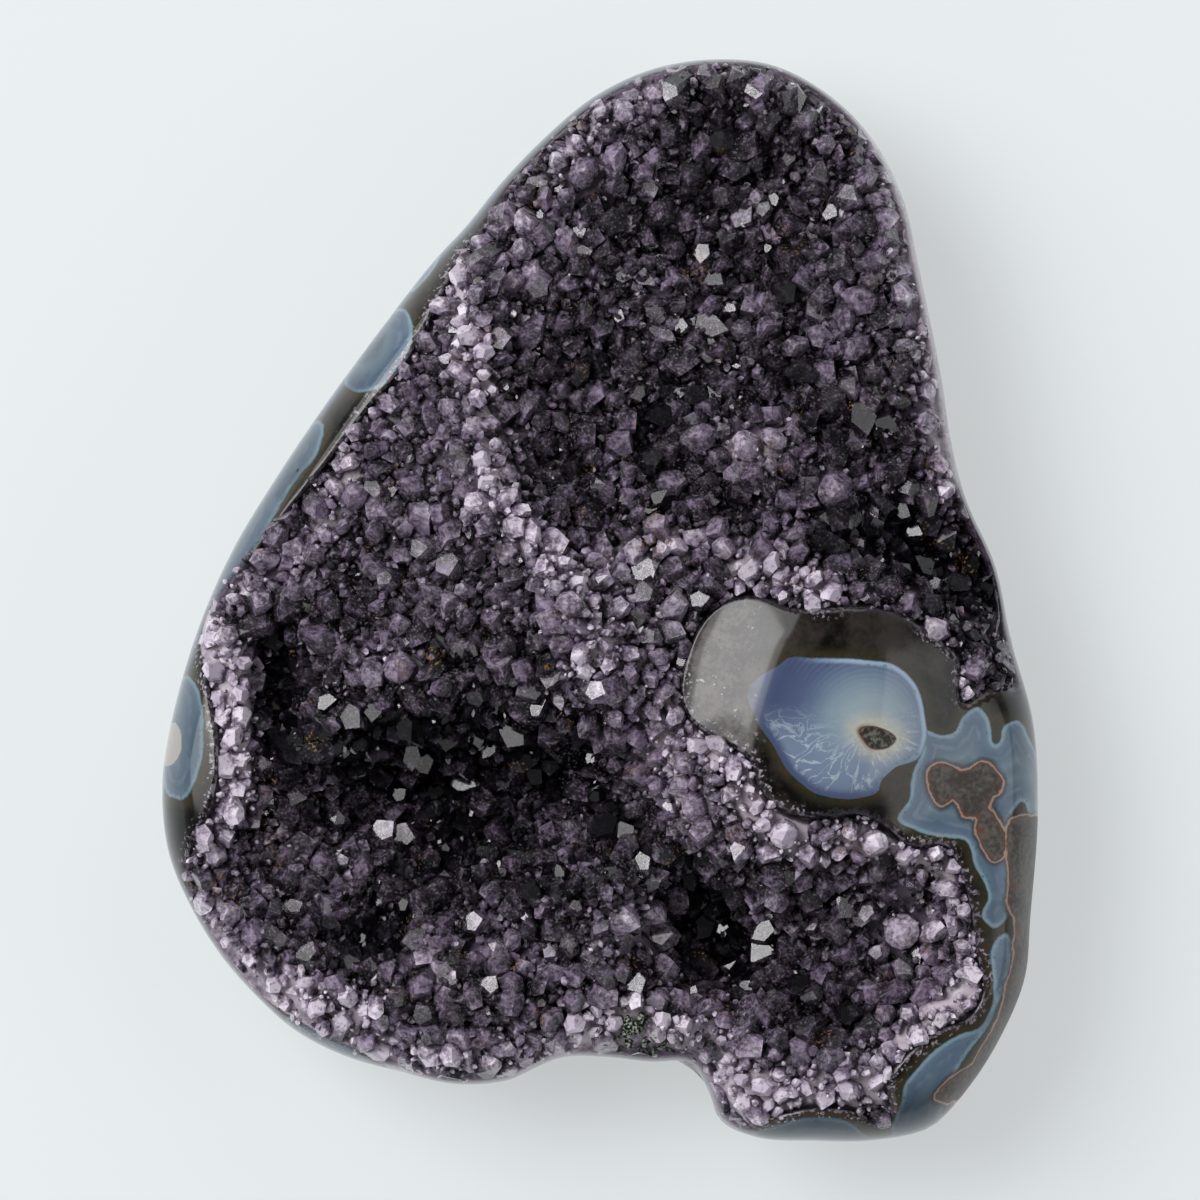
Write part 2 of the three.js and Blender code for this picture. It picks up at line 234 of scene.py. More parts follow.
OUTLINE = [
    (20.5, 100), (9.3, 98.1), (-1.3, 93), (-10.2, 85.6), (-18.1, 77.4), (-24.8, 69.1),
    (-31.1, 62.3), (-41.6, 48.7), (-50.9, 36), (-59.8, 22.8), (-68.3, 8.6), (-75.1, -7.5),
    (-80.1, -26.5), (-81, -36.5), (-79.7, -47.1), (-75.9, -56.3), (-70.5, -65.2), (-63.8, -73),
    (-56.1, -79.8), (-46.8, -84.5), (-37, -87.2), (-27.2, -89.5), (-17.4, -88.9), (-7.2, -84.6),
    (1.1, -84.5), (9.3, -85.4), (16.8, -85.6), (19.8, -90.2), (22.4, -96.2), (28.9, -99.4),
    (39.6, -100), (50.7, -99.9), (61.2, -97.4), (68.8, -89.3), (74.6, -79.8), (78.6, -69.8),
    (79.6, -58.6), (81, -39.3), (80.1, -22.5), (76, -7.3), (73.1, 6.4), (67.7, 18.6), (65, 29),
    (63.1, 41.5), (59, 61.5), (56.1, 74.1), (50.3, 85.4), (42, 93.7), (31.8, 99),
]
CRUST_EDGE = [
    (20, 99.2), (8.6, 96.6), (-2, 90.8), (-10.6, 83.2), (-17.2, 76), (-22, 68.4), (-25.6, 63.6),
    (-31, 53), (-36.2, 43.6), (-43.8, 34.2), (-49.6, 26.6), (-57.4, 16.8), (-65.2, 7.2),
    (-72.2, -1.8), (-73.8, -7.6), (-72.6, -14.4), (-70.4, -26), (-71.6, -37.6), (-75, -44.2),
    (-76.6, -52.2), (-72.4, -61.4), (-66, -70.2), (-57.2, -76.8), (-48.6, -81.2), (-40.6, -85.4),
    (-33, -91), (-17, -92), (-6, -88), (8, -88.6), (14.6, -90), (17.6, -97), (25.2, -98),
    (32.7, -95.3), (40, -93.7), (47.9, -94.8), (52, -97), (53.9, -94.4), (52.9, -88.6),
    (56.4, -84.1), (61.8, -79.6), (67.7, -77.4), (70.9, -72.1), (69.2, -63.7), (68.8, -58.2),
    (66.2, -48.8), (63.3, -44.5), (57.5, -44.9), (52.4, -41.1), (47.7, -38.9), (38.3, -39.5),
    (32.7, -37.6), (29, -33.2), (27.7, -28.9), (20.5, -24.6), (16.5, -21.4), (15.2, -15.1),
    (17.3, -7.4), (21.8, -1.5), (28, 0.6), (34.6, -1.8), (41.4, -1.9), (47.7, -1.4), (54, -2.7),
    (60.3, -6.4), (65.9, -11.4), (65.3, -16.4), (66.4, -19.6), (72.2, -16.4), (77.4, -17.2),
    (81.8, -12), (78.4, 2), (74.4, 15), (69, 28), (67, 44), (63, 62), (59.6, 77), (52, 89),
    (41, 96.2), (30.6, 99.8),
]

# Ridges over the crust's mean face and hollows under it: middle, half-widths, turn and height.
RELIEF = {
    "upper dish": {"x": 18, "y": 48, "along": 34, "across": 30, "turn": 25, "rise": -8},
    "top dish": {"x": 21, "y": 74, "along": 20, "across": 14, "turn": 0, "rise": -3},
    "right trough": {"x": 62, "y": 8, "along": 15, "across": 9, "turn": -25, "rise": -9},
    "eye mound": {"x": 32, "y": -17, "along": 33, "across": 24, "turn": -15, "rise": 4.5},
    "spine top": {"x": -23, "y": 50, "along": 26, "across": 6, "turn": 88, "rise": 4.5},
    "spine middle": {"x": -15, "y": 14, "along": 20, "across": 6.5, "turn": -58, "rise": 6},
    "spine foot": {"x": -2, "y": -8, "along": 16, "across": 7, "turn": -78, "rise": 6},
    "left bench": {"x": -44, "y": 0, "along": 22, "across": 18, "turn": 55, "rise": -2.5},
    "left gap": {"x": -59.5, "y": -17, "along": 13, "across": 5, "turn": 88, "rise": -11},
    "great hollow": {"x": -22, "y": -37, "along": 27, "across": 13.5, "turn": 4, "rise": -25},
    "left hollow": {"x": -52, "y": -46, "along": 17, "across": 15, "turn": 0, "rise": -9},
    "hollow's tail": {"x": -28, "y": -60, "along": 24, "across": 8, "turn": -6, "rise": -8},
    "middle ridge": {"x": 3, "y": -57, "along": 14, "across": 8, "turn": 65, "rise": 4},
    "south pit": {"x": 19.5, "y": -61, "along": 14, "across": 11, "turn": -20, "rise": -17},
    "south-east dish": {"x": 47, "y": -65, "along": 22, "across": 14, "turn": 20, "rise": -10},
}

# What the polished stone shows, as closed outlines seen from above.
EYE_LENS = [
    (34.6, -10.5), (39, -10.5), (47.7, -10.8), (54, -11.9), (57.7, -15.1), (59.6, -21.4),
    (59.9, -25.1), (58.3, -29), (54, -30.8), (51.4, -33.2), (50.9, -35.1), (45.1, -36.4),
    (39, -35.1), (34.6, -31.4), (31.5, -26.4), (29, -22.7), (27, -16.4), (32.7, -11.9),
]
AGATE_LENSES = {
    "shoulder": [
        (58.5, -23.5), (62, -24.6), (65, -24.4), (66.5, -21.5), (69.4, -19.5), (71.6, -22.5),
        (72.4, -26.5), (73.4, -26), (74.6, -22.6), (77.4, -22.4), (79.6, -26), (84, -30),
        (85, -44), (79.5, -41.5), (78, -37), (75, -41), (75.4, -49), (75.2, -57.5), (72.6, -60.4),
        (71.4, -59.8), (70, -58), (71.2, -54.4), (68.8, -48.8), (67.3, -44.5), (60, -43),
        (54.6, -40.2), (56.5, -36.5), (57.5, -31), (59, -28),
    ],
    "right foot": [
        (72, -63.7), (74.8, -61), (75.8, -66), (74.2, -72), (70.8, -79.4), (66, -86),
        (63.4, -92), (62.3, -99), (55, -101), (53.6, -97.6), (55.4, -92), (55.7, -89.4),
        (58, -86.2), (64.2, -80.6), (70, -78.4), (71.6, -75.6), (72.3, -71.3),
    ],
    "bottom": [
        (26, -104), (27.7, -98.7), (35, -95.8), (41.6, -95), (45.7, -95.8), (48.8, -98.5),
        (52, -99.8), (55.6, -96.8), (58.5, -95.4), (63.3, -94.6), (64, -104),
    ],
    "upper left": [
        (-35.4, 53.2), (-34.4, 50.5), (-35.6, 43.8), (-39.6, 39.4), (-44, 38), (-47.5, 40), (-54, 46),
        (-43, 53.4), (-38.5, 54.4),
    ],
    "top left": [(-29.6, 64), (-30.8, 60.8), (-33.8, 57.6), (-36.4, 56.8), (-40, 62), (-33, 67)],
    "long left": [
        (-50.8, 32.2), (-52, 27), (-55.6, 22.4), (-60.4, 14.6), (-64.6, 6.6), (-68.8, 0.6),
        (-72.4, -1.6), (-78, 4), (-66, 24), (-56, 36),
    ],
    "left": [
        (-75.4, -14.2), (-73.4, -17.6), (-72.8, -25), (-73.8, -32), (-76.2, -36.6),
        (-79.4, -36.2), (-81.8, -32), (-84, -22), (-80, -14),
    ],
    "bottom left": [
        (-59, -77.4), (-55.4, -77), (-50.2, -79.8), (-46.2, -82), (-42.9, -85.7), (-46, -90),
        (-58, -84),
    ],
}
BASALT = {
    "shoulder": [
        (60.2, -31), (63.2, -29.9), (67.3, -31), (70.4, -29.5), (74.2, -32.8), (73.8, -35.4),
        (72.3, -36.6), (70.4, -39.7), (66.6, -39.7), (64.8, -36.9), (62.9, -38.2), (60.7, -36.2),
    ],
    "blob": [(69, -40.6), (71.5, -38.4), (74.6, -43), (74.4, -47), (72.6, -48.4), (70.4, -46)],
    "right strip": [
        (75.4, -40.2), (74.8, -48.8), (75.2, -52.5), (74.6, -55.4), (76, -58.2), (76, -63.7),
        (74.6, -71.3), (72.7, -78.2), (69.8, -82.6), (66.8, -90.5), (78, -84), (86, -60),
        (86, -42),
    ],
    "foot": [(63.5, -88.6), (67.6, -86), (70.2, -84), (70, -88.5), (66, -92.6), (61.4, -92)],
}
VUG = [
    (47.6, -23.8), (50, -23.4), (52.6, -24.2), (54, -25.4), (52.6, -26.8), (50, -27),
    (48.6, -25.6),
]
EYE_MIDDLE = (49.2, -22.8)  # the eye's rings run round it
RIM_QUARTZ = [(-78.2, -22.6), (-77.2, -28), (-80, -30.6), (-84, -27)]


STEPS_BETWEEN = 24  # a curve is first followed in this many steps from point to point


def closed_curve(points, steps):
    """Evenly spaced points on the smooth closed curve through these (centripetal)."""
    p = np.array(points, float)
    p0, p1, p2, p3 = np.roll(p, 1, 0), p, np.roll(p, -1, 0), np.roll(p, -2, 0)
    k1 = np.linalg.norm(p1 - p0, axis=1)[:, None] ** 0.5
    k2 = k1 + np.linalg.norm(p2 - p1, axis=1)[:, None] ** 0.5
    k3 = k2 + np.linalg.norm(p3 - p2, axis=1)[:, None] ** 0.5
    samples = []
    for share in np.linspace(0, 1, STEPS_BETWEEN, endpoint=False):
        k = k1 + share * (k2 - k1)
        a1 = (k1 - k) / k1 * p0 + k / k1 * p1
        a2 = (k2 - k) / (k2 - k1) * p1 + (k - k1) / (k2 - k1) * p2
        a3 = (k3 - k) / (k3 - k2) * p2 + (k - k2) / (k3 - k2) * p3
        b1 = (k2 - k) / k2 * a1 + k / k2 * a2
        b2 = (k3 - k) / (k3 - k1) * a2 + (k - k1) / (k3 - k1) * a3
        samples.append((k2 - k) / (k2 - k1) * b1 + (k - k1) / (k2 - k1) * b2)
    dense = np.stack(samples, 1).reshape(-1, 2)
    dense = np.vstack([dense, dense[:1]])
    lengths = np.append(0, np.cumsum(np.linalg.norm(np.diff(dense, axis=0), axis=1)))
    at = np.arange(steps) / steps * lengths[-1]
    return np.stack([np.interp(at, lengths, dense[:, axis]) for axis in (0, 1)], 1)


def nearest_on(path, places, closed=True):
    """The nearest point of a path to each place, and how far off it is."""
    path = np.array(path, float)
    ends = np.roll(path, -1, 0) if closed else path[1:]
    nearest = np.zeros(places.shape)
    best = np.full(len(places), np.inf)
    for a, b in zip(path, ends):
        side = b - a
        share = np.clip((places - a) @ side / (side @ side), 0, 1)
        foot = a + share[:, None] * side
        far = np.hypot(*(places - foot).T)
        closer = far < best
        best[closer] = far[closer]
        nearest[closer] = foot[closer]
    return nearest, best


def depth_inside(ring, places):
    """How far each place is inside a closed ring; below zero outside it."""
    within = np.zeros(len(places), bool)
    x, y = places.T
    for a, b in zip(ring, np.roll(ring, -1, 0)):
        crosses = (a[1] > y) != (b[1] > y)
        run = (b[0] - a[0]) / (b[1] - a[1] if b[1] != a[1] else 1)
        within ^= crosses & (x < a[0] + (y - a[1]) * run)
    return np.where(within, 1, -1) * nearest_on(ring, places)[1]


MAP_HALF = (96, 114)  # a depth map reaches this far either way


def depth_map(ring):
    """The same depth, worked out once at every millimetre and read between."""
    x = np.arange(-MAP_HALF[0], MAP_HALF[0] + 1)
    y = np.arange(-MAP_HALF[1], MAP_HALF[1] + 1)
    grid = np.stack(np.meshgrid(x, y, indexing="ij"), -1).reshape(-1, 2).astype(float)
    depths = depth_inside(ring, grid).reshape(len(x), len(y))

    def read(places):
        at = np.clip(places + MAP_HALF, 0, np.array(depths.shape) - 1.001)
        i, j = at.astype(int).T
        u, v = (at % 1).T
        low = depths[i, j] * (1 - v) + depths[i, j + 1] * v
        high = depths[i + 1, j] * (1 - v) + depths[i + 1, j + 1] * v
        return low * (1 - u) + high * u

    return read


def smooth_step(value, low, high):
    share = np.clip((value - low) / (high - low), 0, 1)
    return share * share * (3 - 2 * share)


def hump(form, places):
    """Share of a hump's height at each place: a flat top and soft shoulders."""
    angle = math.radians(form["turn"])
    u = (places - (form["x"], form["y"])) @ (math.cos(angle), math.sin(angle))
    v = (places - (form["x"], form["y"])) @ (-math.sin(angle), math.cos(angle))
    return np.exp(-(((u / form["along"]) ** 2 + (v / form["across"]) ** 2) ** 1.5))


SILHOUETTE_STEPS = 260
CRUST_STEPS = 300
silhouette = closed_curve(OUTLINE, SILHOUETTE_STEPS)
inside_stone = depth_map(silhouette)
inside_crust = depth_map(closed_curve(CRUST_EDGE, CRUST_STEPS))


def polished_face(places):
    """Height of the ground and polished surface, as if it ran over the crust too."""
    inwards = np.maximum(inside_stone(places), 0)
    over = 1 - np.minimum(inwards / ROUND_WIDTH, 1)
    rim = WIDEST_Z + ROUND_RISE * np.sqrt(1 - over**2)
    dome = DOME_RISE * (1 - np.exp(-inwards / DOME_REACH))
    return rim + dome + EYE_DOME["rise"] * hump(EYE_DOME, places)


def crystal_face(places):
    """The crystals' mean face."""
    relief = sum(form["rise"] * hump(form, places) for form in RELIEF.values())
    return polished_face(places) - CRUST_SUNK + smooth_step(inside_crust(places), 0, CRUST_FADE) * relief


def worn(ring, reach):
    """A ring whose corners are averaged away over a reach in millimetres."""
    around = np.linalg.norm(np.diff(ring, axis=0, append=ring[:1]), axis=1).sum()
    waves = np.fft.fft(ring[:, 0] + 1j * ring[:, 1])
    turns = np.fft.fftfreq(len(ring), 1 / len(ring))
    smooth = np.fft.ifft(waves * np.exp(-0.5 * (2 * math.pi * turns * reach / around) ** 2))
    return np.stack([smooth.real, smooth.imag], 1)


def swell(places):
    """The low swells of the rough back, from about -2 to 2."""
    x, y = places.T
    short, long = SWELL_LENGTHS
    return np.sin(x / short + np.cos(y / long)) + np.cos((y - x) / long)


# The stone is a sheet rolled up: its rows are rings from the middle of the face out over the
# polished edge and in under the back, and its first and last row close on one point each.
AROUND = 440
FACE_RINGS = 150
EDGE_RINGS = 14
BACK_RINGS = 24
SPOT_RINGS = 3
outline = closed_curve(OUTLINE, AROUND)
arm = outline - HEART
arm_length = np.linalg.norm(arm, axis=1)[:, None]
rings = []
for share in np.linspace(0, 1, FACE_RINGS):
    rings.append((HEART + share * arm * (1 - ROUND_WIDTH / arm_length), np.nan))
for turn in np.linspace(math.pi / 2, 0, EDGE_RINGS)[1:-1]:
    inset = ROUND_WIDTH * (1 - math.cos(turn))
    rings.append((HEART + arm * (1 - inset / arm_length), np.nan))
for turn in np.linspace(math.pi / 2, 0, BACK_RINGS):
    share = SPOT_SHARE + (1 - SPOT_SHARE) * math.sin(turn) ** (2 / BACK_FULLNESS)
    ring = worn(outline, BACK_WEAR * math.cos(turn) ** WEAR_GROWTH)
    rings.append((HEART + share * (ring - HEART), WIDEST_Z * (1 - math.cos(turn))))
for share in np.linspace(SPOT_SHARE, 0, SPOT_RINGS + 2)[1:]:
    rings.append((HEART + share * (worn(outline, BACK_WEAR) - HEART), 0))

bpy.ops.object.select_all(action="DESELECT")
bpy.ops.mesh.primitive_grid_add(x_subdivisions=AROUND, y_subdivisions=len(rings) - 1, size=2)
stone = bpy.context.object
stone.name = "polished_stone"
sheet = np.empty(len(stone.data.vertices) * 3, np.float32)
stone.data.vertices.foreach_get("co", sheet)
sheet = (sheet.reshape(-1, 3)[:, :2] + 1) / 2
column = np.rint(sheet[:, 0] * AROUND).astype(int) % AROUND
row = np.rint(sheet[:, 1] * (len(rings) - 1)).astype(int)
flat = np.array([ring for ring, z in rings])[row, column]
level = np.array([z for ring, z in rings])[row]
bed_share = smooth_step(inside_crust(flat), 0, BED_LIP)
bed_share = bed_share * smooth_step(inside_stone(flat), *BED_FROM_RIM)
bed = crystal_face(flat) - BED_DEPTH
top = (1 - bed_share) * polished_face(flat) + bed_share * bed
rough_share = smooth_step(level, 0, SWELL_ABOVE)
rough_share = rough_share * (1 - smooth_step(level, WIDEST_Z - SWELL_BELOW, WIDEST_Z))
height = np.where(np.isnan(level), top, level + SWELL * swell(flat) * rough_share)
points = np.clip(np.column_stack([flat, height]) * MM, *cad_box)
stone.data.vertices.foreach_set("co", points.astype(np.float32).ravel())
bpy.ops.object.mode_set(mode="EDIT")
bpy.ops.mesh.select_all(action="SELECT")
bpy.ops.mesh.remove_doubles(threshold=0.01 * MM)
bpy.ops.mesh.normals_make_consistent(inside=False)
bpy.ops.object.mode_set(mode="OBJECT")
bpy.ops.object.shade_smooth()

# Where the crust is paler or darker than elsewhere: a path, its half-width, and how much.
PALE_ZONES = {
    "left rim": ([(-74, -4), (-70.6, -9), (-67.6, -16), (-67.2, -28), (-69, -36)], 4.8, 1.1),
    "left rim's foot": ([(-69, -36), (-71, -42), (-73.5, -46)], 3.6, 0.7),
    "spine's top": ([(-27, 64), (-26.6, 56), (-24, 50), (-22, 40)], 3.4, 0.8),
    "spine's middle": ([(-22, 40), (-21, 30)], 2.8, 0.62),
    "spine's white knot": ([(-21, 25), (-20, 19)], 3.2, 0.95),
    "spine's lower part": ([(-20, 19), (-13, 11), (-9.5, 9)], 3.4, 0.75),
    "spine's foot": ([(-9, 5), (-3, 2), (0, -4), (-2.5, -14)], 4.2, 0.6),
    "left border": ([(-29, 62), (-33, 53), (-36, 44), (-42, 36)], 3.4, 0.62),
    "left border below": ([(-43, 33), (-46, 23), (-50, 15), (-56, 8), (-65, 0.5)], 4.2, 0.36),
    "left border's knots": ([(-46, 22), (-50, 15)], 2.6, 0.58),
    "left corner": ([(-66, 1), (-65, 0)], 2.2, 0.9),
    "upper bench": ([(-30, 32), (-24, 12), (-32, 6)], 12, 0.17),
    "top left border": ([(-20, 64), (-8, 74), (0, 84)], 4.6, 0.26),
    "top rim": ([(-6, 82), (4, 91), (14, 96.5)], 2.6, 0.5),
    "arc over the eye": ([(1, 5), (9, 9.5), (15, 9.8)], 3.2, 0.6),
    "arc's right part": ([(15, 9.8), (24, 9.5), (33, 6)], 2.6, 0.4),
    "knot in the arc": ([(12, -3), (13, -3)], 2.0, 0.85),
    "over the eye": ([(26, 5.5), (33, 5), (41, 0.6)], 3.2, 1.1),
    "eye's flank": ([(9, -12), (12, -28), (16, -40)], 7, 0.4),
    "under the eye": ([(16, -19), (21, -26), (26, -30), (29, -37), (34.5, -43)], 4.4, 1.2),
    "right under the eye": ([(44, -43.5), (51, -45), (60, -47)], 3.2, 0.8),
    "right bank": ([(60, -45), (65, -50), (66, -58), (61, -62), (56, -61)], 3.6, 0.55),
    "right of the eye": ([(60.5, -6.5), (64, -10), (67, -17)], 2.2, 0.7),
    "foot's bank": ([(69, -66), (66, -74), (58, -80), (53, -86), (48, -91)], 3.8, 0.85),
    "foot": ([(50, -90), (41, -91), (30, -92), (24, -88)], 5.2, 0.82),
    "foot's left": ([(21, -79), (24, -86)], 3.6, 0.55),
    "lower left edge": ([(-72, -56), (-63, -70)], 3.6, 0.56),
    "lower left white": ([(-58, -71), (-49, -75), (-44, -75)], 4.0, 0.95),
    "lower left band": ([(-60, -74), (-46, -82), (-36, -86)], 3.8, 0.62),
    "bottom band": ([(-40, -82), (-28, -85), (-15, -86), (-5, -82)], 4.2, 0.5),
    "notch lip": ([(-3, -80), (6, -76.5), (15, -79)], 4.0, 0.95),
    "right rim": ([(50, 88), (57, 66), (60, 52), (62, 36), (64.5, 22)], 3.0, 0.7),
    "right rim's knot": ([(60, 42), (62.5, 30)], 2.8, 0.66),
    "ball": ([(26, 28.5), (28.5, 27.8)], 4.0, 0.52),
    "ball's tail": ([(29, 28), (35, 30)], 2.8, 0.4),
    "lower ball": ([(42, 20), (44, 19)], 3.4, 0.34),
    "right patch": ([(42, 58), (44, 57)], 3.2, 0.22),
    "top patch": ([(27, 72), (27, 69)], 2.6, 0.22),
    "top ball": ([(-3, 79), (-2, 78)], 3.2, 0.3),
    "left dish patch": ([(-15, 60), (-12, 50)], 5, 0.2),
    "hollow's floor": ([(-8, -40), (-5, -41)], 3, 0.22),
    "lower left patch": ([(-49, -48), (-47, -49)], 4, 0.2),
    "bench ball": ([(-42, -11.5), (-37, -12.5)], 3.6, 0.3),
    "ridge ball": ([(3, -60), (9, -58.5)], 4.4, 0.4),
    "tail patch": ([(-32, -66), (-31, -70)], 3, 0.32),
    "lower middle": ([(-19, -66), (-4, -70)], 4.5, 0.24),
    "south dish patch": ([(50, -52), (54, -53)], 4, 0.28),
    "south ball": ([(54, -61), (57, -60)], 3.6, 0.42),
}
# The dark zones follow the hollows, pits and ledges. They are partly the crystals' own darker colour and
# partly painted shade where shade falls.
DARK_AND_SHADED_ZONES = {
    "top": ([(20, 90), (24, 82), (20, 76)], 6, 0.55),
    "top left": ([(8, 74), (4, 71)], 4, 0.5),
    "upper left": ([(10, 67), (14, 66)], 3, 0.45),
    "upper right": ([(25, 58), (34, 58)], 4, 0.45),
    "dish's left": ([(-7, 50), (-2, 43)], 3.6, 0.5),
    "by the spine": ([(-15, 39), (-12, 40)], 3.2, 0.45),
    "dish's middle": ([(15, 43), (13, 38), (8, 29), (11, 18)], 4.4, 0.55),
    "dish's lower left": ([(-8, 25), (-4, 21)], 4.4, 0.55),
    "dish's foot": ([(15, 17), (26, 17)], 3.4, 0.5),
    "dish's right": ([(33, 42), (36, 41)], 3, 0.45),
    "dish's lower right": ([(41, 33), (46, 28), (52, 34), (53, 28)], 3.8, 0.55),
    "trough": ([(47, 12), (56, 9), (66, 4), (69, -1)], 6.5, 0.75),
    "trough's floor": ([(55, 9), (61, 7)], 4.4, 1.0),
    "left bank": ([(-55, 0), (-50, 0), (-46, 1)], 4.5, 0.5),
    "left gap": ([(-60, -8), (-57, -20), (-58, -27)], 4.6, 0.95),
    "bench's edge": ([(-30, -8), (-24, -16)], 5, 0.45),
    "under the ledge": ([(-60, -26), (-54, -28), (-40, -26), (-16, -24), (-6, -28)], 5, 1.0),
    "great hollow": ([(-40, -30), (-30, -38), (-22, -44)], 7.5, 1.0),
    "great hollow's right": ([(-16, -26), (-10, -34)], 6.5, 1.0),
    "under the flank": ([(-2, -36), (4, -41), (9, -45)], 4.8, 0.9),
    "hollow's foot": ([(-20, -48), (-4, -50)], 6.5, 0.6),
    "hollow's tail": ([(-36, -50), (-38, -58), (-46, -63)], 5.2, 0.8),
    "south pit": ([(17, -53), (20, -62), (26, -67)], 5.4, 1.0),
    "pit's lip": ([(12, -46), (18, -56)], 5.5, 0.6),
    "south dish": ([(30, -66), (38, -72), (43, -74)], 5.5, 0.6),
}
BASE_TONE = 0.36
DIMMED = 0.6  # where a dark zone lies over a pale one, the pale one loses this share


def strongest(zones, places):
    """How strongly the nearest of some zones tells at each place."""
    most = np.zeros(len(places))
    for path, width, strength in zones.values():
        far = nearest_on(path, places, closed=False)[1]
        most = np.maximum(most, strength * np.exp(-((far / width) ** 2)))
    return most


def crust_tone_and_shade(places):
    """How pale the crust is at each place, from 0, black, to 1, white, with painted shade in the
    hollows.
    """
    dark = strongest(DARK_AND_SHADED_ZONES, places)
    return BASE_TONE * (1 - dark) + strongest(PALE_ZONES, places) * (1 - DIMMED * dark)


def note(mesh, name, values):
    """Keeps one number for each vertex, which a material reads by its name."""
    mesh.attributes.new(name, "FLOAT", "POINT").data.foreach_set("value", values.astype(np.float32))


NEARBY = 9  # an outline is only measured this far out
STEPS_A_POINT = 6  # and is followed in this many steps for each of its points


def deepest(outlines, places):
    """How far each place is inside the nearest of some outlines."""
    depth = np.full(len(places), -float(NEARBY))
    for points in outlines:
        ring = closed_curve(points, STEPS_A_POINT * len(points))
        near = np.all((places > ring.min(0) - NEARBY) & (places < ring.max(0) + NEARBY), axis=1)
        depth[near] = np.maximum(depth[near], depth_inside(ring, places[near]))
    return depth


seats = np.empty(len(stone.data.vertices) * 3, np.float32)
stone.data.vertices.foreach_get("co", seats)
seats = seats.reshape(-1, 3)[:, :2] / MM
note(stone.data, "crust", inside_crust(seats))
note(stone.data, "rim", inside_stone(seats))
# The tone holds painted shade in the hollows as well as the crust's own paleness.
note(stone.data, "tone", crust_tone_and_shade(seats))
note(stone.data, "eye", deepest([EYE_LENS], seats))
note(stone.data, "agate", deepest(AGATE_LENSES.values(), seats))
note(stone.data, "basalt", deepest(BASALT.values(), seats))
note(stone.data, "vug", deepest([VUG], seats))
note(stone.data, "from_vug", np.hypot(*(seats - EYE_MIDDLE).T))
note(stone.data, "round_vug", np.arctan2(*(EYE_MIDDLE - seats).T[::-1]))
note(stone.data, "rim_quartz", deepest([RIM_QUARTZ], seats))

stone_paint, wires, place = start_material("polished_agate_and_basalt")


def noted(name):
    return wires.add("ShaderNodeAttribute", {"attribute_name": name}, output="Fac")


def grain(size, detail, roughness=0.5):
    """Cloudy noise from 0 to 1 whose lumps are about this many millimetres across."""
    inputs = {"Vector": place, "Scale": 1 / (MM * size), "Detail": detail, "Roughness": roughness}
    return wires.add("ShaderNodeTexNoise", inputs=inputs)


def ramped(value, stops):
    """The colour that a value falls on among stops, which are values and their colours."""
    reach = stops[-1][0]
    shares = [(at / reach, shade) for at, shade in stops]
    return wires.add("ShaderNodeValToRGB", {"stops": shares}, {0: value * (1 / reach)})


x, y, z = [
    wires.add("ShaderNodeSeparateXYZ", inputs={0: place}, output=axis) * (1 / MM)
    for axis in range(3)
]
crust = noted("crust")
tone = noted("tone")
broad = grain(14, 1)
medium = grain(4, 3)
fine = grain(0.9, 2, 0.6)
ragged = (medium - 0.5) * 1.6 + (fine - 0.5) * 0.5

# The dark translucent agate, olive where it meets the blue bands.
wander = (broad - 0.5) * 18  # the bands wander down the edge's wall
agate = noted("agate") + ragged * 0.55 + wander * z.step(33, 25)
eye = noted("eye") + ragged * 0.3
blue_near = agate.math("MAXIMUM", agate, eye)
murk = broad * 0.5 + medium * 0.35 + fine * 0.15
dark_agate = painted(seen(8, 7, 6), seen(56, 50, 46), murk.step(0.42, 0.64))
dark_agate = painted(dark_agate, seen(64, 55, 36), blue_near.step(-2.6, -0.1) * (1 - fine * 0.6))
rim_blue = (noted("rim") + ragged * 0.2).step(1.4, 0.7) * (y - x).step(56, 66)
rim_blue = rim_blue * (z + wander + ragged).step(23.5, 25.5)
dark_agate = painted(dark_agate, seen(66, 80, 100), rim_blue)
flecks = blue_near.step(-2.6, -0.3) * fine.step(0.52, 0.62)
colour = painted(dark_agate, seen(20, 44, 36), flecks * 0.8)

# Bands of blue-grey follow the agate's outlines inwards, and run round the vug in the eye.
AGATE_BANDS = [
    (0, seen(84, 118, 130)), (0.35, seen(134, 158, 172)), (0.9, seen(98, 118, 136)),
    (2.4, seen(86, 104, 124)), (4.4, seen(104, 124, 136)), (8, seen(58, 78, 92)),
]
EYE_RINGS = [
    (0, seen(158, 170, 172)), (4.5, seen(148, 164, 172)), (8, seen(124, 142, 158)),
    (11, seen(98, 114, 140)), (13.5, seen(80, 92, 122)), (18, seen(66, 77, 107)),
    (23, seen(80, 92, 122)),
]
agate_blue = ramped(agate, AGATE_BANDS)
waves = agate.math("SINE", (agate + ragged * 0.9) * 3)
pale_waves = waves.step(-0.2, 1) * medium.step(0.35, 0.65) * 0.4
agate_blue = painted(agate_blue, seen(134, 148, 164), pale_waves)
teal = fine.step(0.6, 0.68) * agate.step(2.4, 0.3) * 0.5
agate_blue = painted(agate_blue, seen(44, 82, 84), teal)
deep_blue = broad.step(0.45, 0.7) * medium.step(0.35, 0.6) * 0.5
agate_blue = painted(agate_blue, seen(52, 70, 86), deep_blue)
# The left side faces the key light, so its bands are painted darker there to take off that light:
# painted shade. The foot's bands are darker as well.
painted_shade_left = x.step(-20, -55) * 0.36
darker_foot = y.step(-86, -94) * 0.62
darker = painted_shade_left.math("MAXIMUM", painted_shade_left, darker_foot)
agate_blue = painted(agate_blue, seen(20, 26, 34), darker)
colour = painted(colour, agate_blue, agate.step(-0.12, 0.12))

